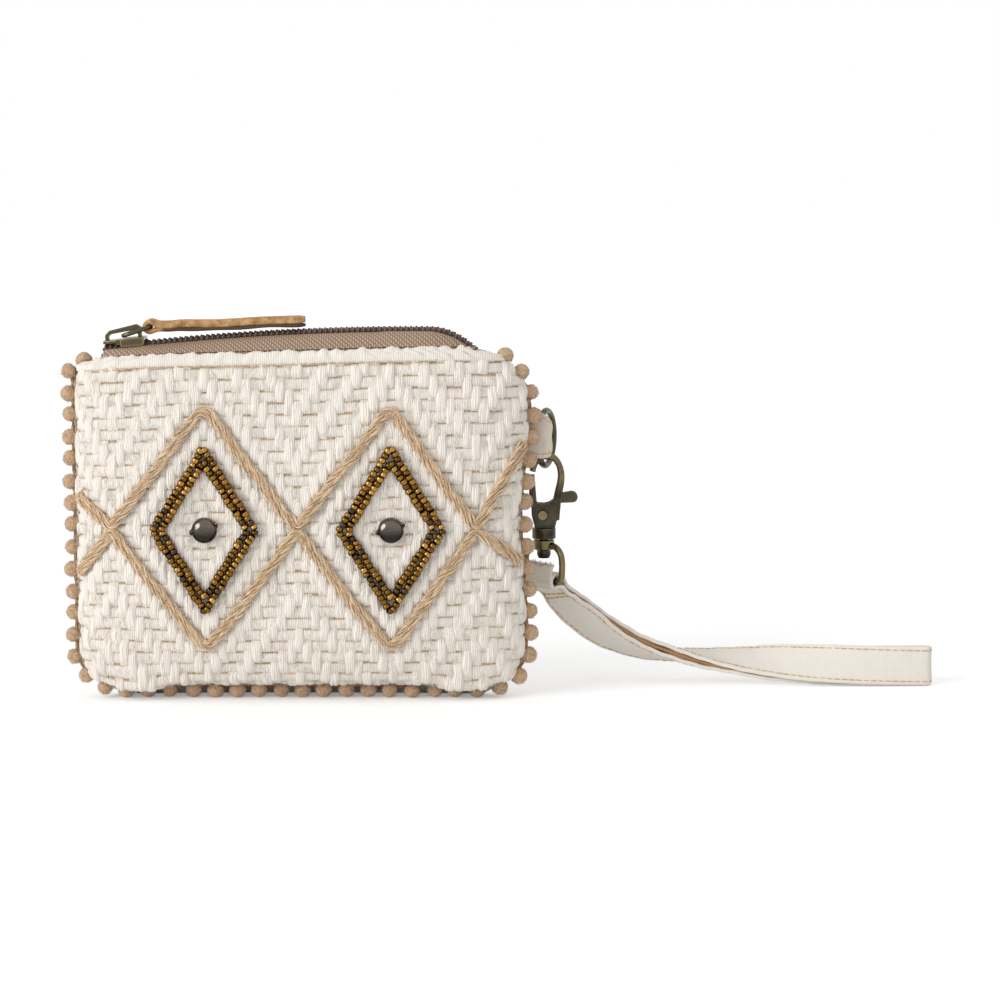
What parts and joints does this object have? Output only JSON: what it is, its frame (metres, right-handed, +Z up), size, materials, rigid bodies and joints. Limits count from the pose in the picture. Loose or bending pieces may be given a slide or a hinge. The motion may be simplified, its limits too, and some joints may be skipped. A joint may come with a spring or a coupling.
{
  "type": "woven pouch",
  "caption": "Zipped woven cotton pouch with jute zigzags, beaded diamonds, a pompom edge, a leather zip pull and a canvas wrist strap on a swivel hook.",
  "frame": {"origin": "on the ground, under the middle pompom of the bottom seam", "axes": "+X along the zip to the wrist strap's side, +Y from the patterned front to the back, +Z up"},
  "size_m": [0.266, 0.0518, 0.1156],
  "materials": {
    "cream_cotton": "matte, raised cream weave",
    "lining_cotton": "matte, plain",
    "tan_wool": "fuzzy, matte",
    "jute": "twisted cord, matte",
    "bronze_bead": "shiny, darkened in the gaps",
    "gunmetal": "dark, satin",
    "zip_tape": "matte twill tape",
    "zip_coil": "satin",
    "old_brass": "antique, darkened in the hollows",
    "tan_leather": "smooth, natural edges",
    "strap_canvas": "matte canvas",
    "steel": "plain"
  },
  "bodies": {
    "pouch": {"front_panel": "cream_cotton", "back_panel": "cream_cotton", "front_lining": "lining_cotton", "back_lining": "lining_cotton", "trim_left": "tan_wool", "trim_bottom": "tan_wool", "trim_right": "tan_wool", "jute_upper": "jute", "jute_lower": "jute", "bead_row_outer_left": "bronze_bead", "bead_row_inner_left": "bronze_bead", "bead_row_outer_right": "bronze_bead", "bead_row_inner_right": "bronze_bead", "stud_left": "gunmetal", "stud_right": "gunmetal", "zip_end_left": "zip_tape", "zip_end_right": "zip_tape", "side_tab": "cream_cotton"},
    "front_lip": {"front_tape": "zip_tape", "front_coil": "zip_coil"},
    "back_lip": {"back_tape": "zip_tape", "back_coil": "zip_coil"},
    "slider": {"slider_body": "old_brass"},
    "link": {"pull_link": "old_brass"},
    "pull": {"leather_pull": "tan_leather"},
    "ring": {"side_ring": "old_brass"},
    "hook": {"hook_body": "old_brass", "trigger_rivet": "old_brass", "trigger_spring": "steel", "swivel_rivet": "old_brass"},
    "trigger": {"hook_trigger": "old_brass"},
    "eye": {"swivel_eye": "old_brass"},
    "strap": {"wrist_strap": "strap_canvas"}
  },
  "joints": [
    {"name": "zip_slider_run", "type": "hinge", "parent": "pouch", "child": "slider", "pos_m": [0.033, 0, -0.6389], "axis": [0, 1, 0], "range_deg": [0, 6.45]},
    {"name": "front_lip_fold", "type": "hinge", "parent": "pouch", "child": "front_lip", "pos_m": [-0.0053, -0.0083, 0.10558], "axis": [-0.9996, 0, -0.0275], "range_deg": [0, 70]},
    {"name": "back_lip_fold", "type": "hinge", "parent": "pouch", "child": "back_lip", "pos_m": [-0.0053, 0.0083, 0.10558], "axis": [0.9996, 0, 0.0275], "range_deg": [0, 70]},
    {"name": "pull_link_swing", "type": "hinge", "parent": "slider", "child": "link", "pos_m": [-0.05211, 0, 0.10943], "axis": [0, -1, 0], "range_deg": [0, 120]},
    {"name": "leather_pull_swing", "type": "hinge", "parent": "link", "child": "pull", "pos_m": [-0.04414, 0, 0.11209], "axis": [0, -1, 0], "range_deg": [0, 60]},
    {"name": "ring_swing", "type": "hinge", "parent": "pouch", "child": "ring", "pos_m": [0.07105, 0.0049, 0.0774], "axis": [0, 0, 1], "range_deg": [-20, 20]},
    {"name": "hook_swing", "type": "hinge", "parent": "ring", "child": "hook", "pos_m": [0.07358, 0.0128, 0.0691], "axis": [-0.3051, -0.9523, 0], "range_deg": [0, 40]},
    {"name": "trigger_press", "type": "hinge", "parent": "hook", "child": "trigger", "pos_m": [0.07258, 0.0128, 0.05403], "axis": [0, 1, 0], "range_deg": [0, 18], "stiffness_Nm_per_rad": 0.02},
    {"name": "swivel_turn", "type": "hinge", "parent": "hook", "child": "eye", "pos_m": [0.07308, 0.0128, 0.04638], "axis": [0, 0, 1], "range_deg": [-60, 75]},
    {"name": "strap_swing", "type": "hinge", "parent": "eye", "child": "strap", "pos_m": [0.07308, 0.0128, 0.03398], "axis": [0.6881, -0.7257, 0], "range_deg": [0, 60]}
  ]
}
